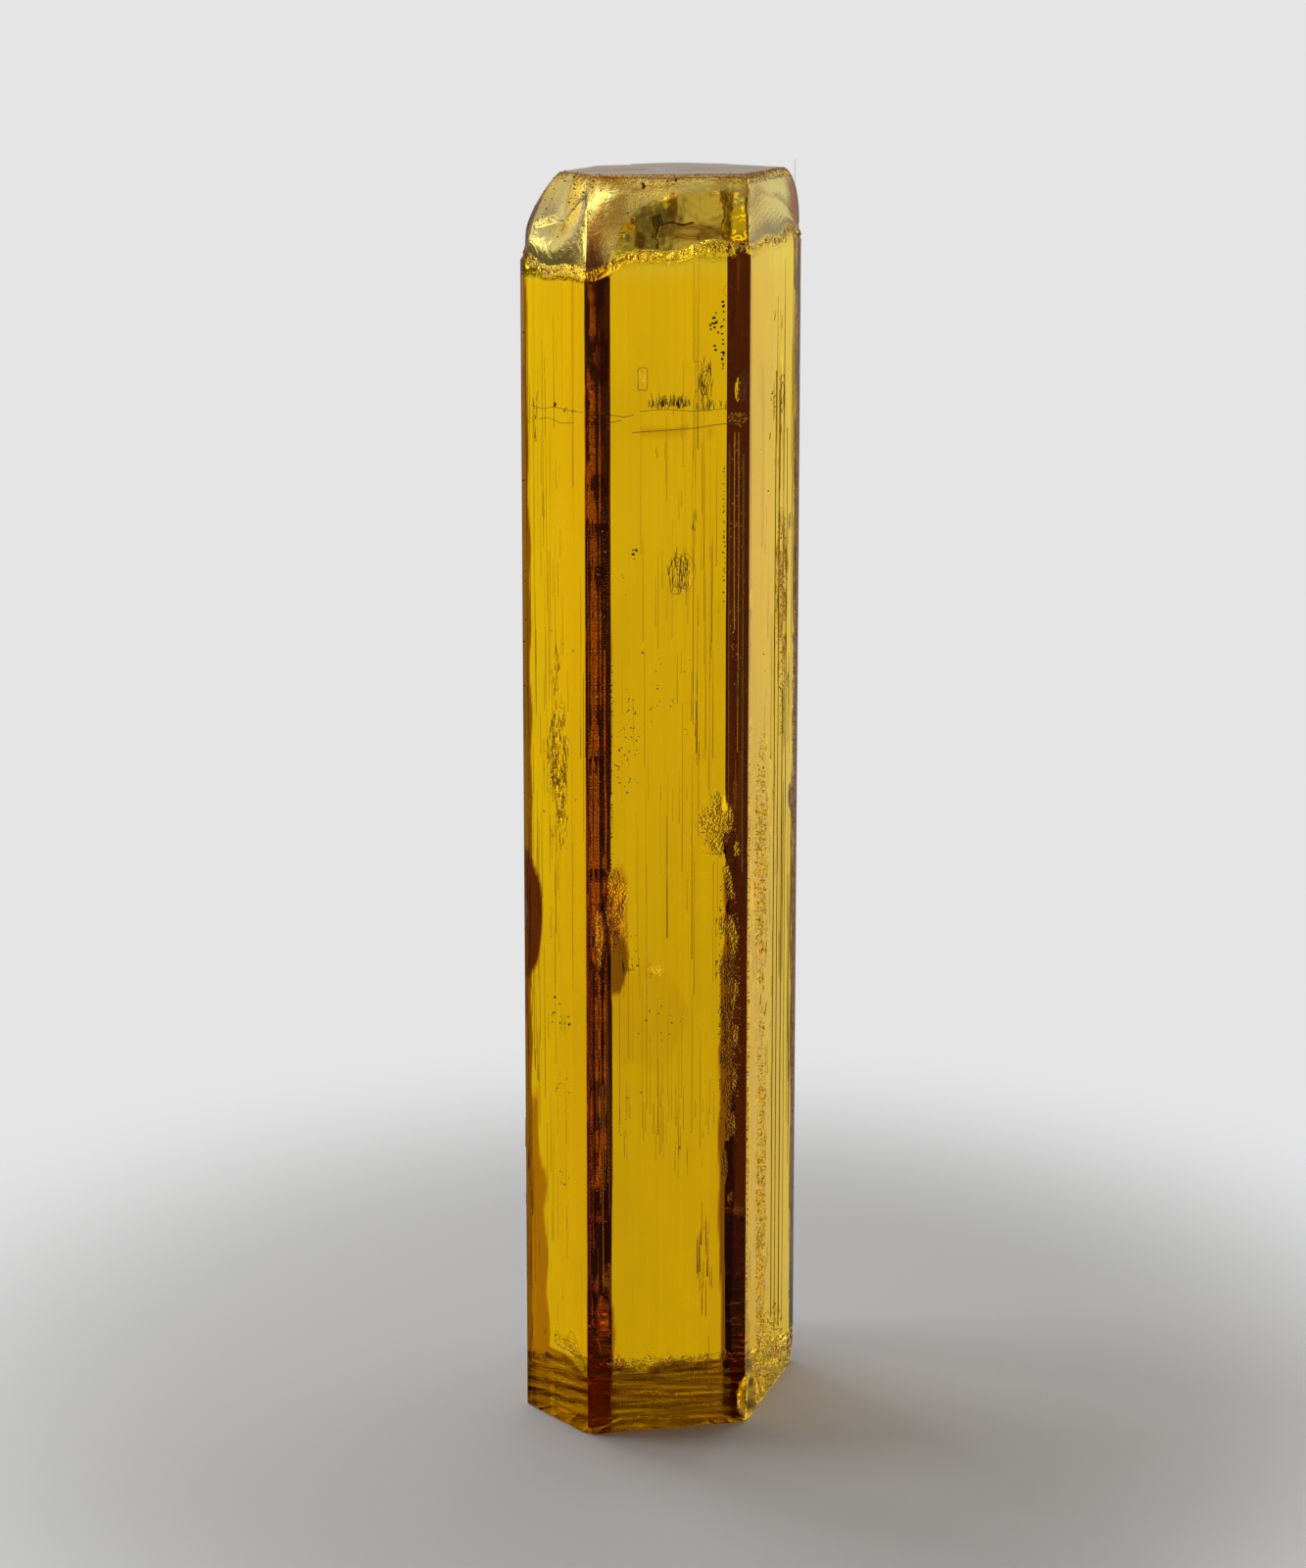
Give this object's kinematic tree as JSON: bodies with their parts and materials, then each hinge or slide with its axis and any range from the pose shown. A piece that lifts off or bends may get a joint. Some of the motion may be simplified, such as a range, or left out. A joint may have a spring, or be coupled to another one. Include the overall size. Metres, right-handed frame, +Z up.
{
  "type": "heliodor crystal",
  "caption": "Tall six-sided prism of golden beryl with a flat top, a pale rounded cap and a broken foot, standing on its base.",
  "frame": {"origin": "middle of the bounding box at the foot, on the surface that the crystal stands on", "axes": "+Z up along the crystal's long axis, -Y towards the broad front face's side, +X to the right seen from there"},
  "size_m": [0.028, 0.0294, 0.125],
  "materials": {
    "golden_beryl": "clear golden yellow beryl, glassy, finely striated along its length, nearly colourless at the cap"
  },
  "bodies": {
    "root": {"heliodor_crystal": "golden_beryl"}
  },
  "joints": []
}
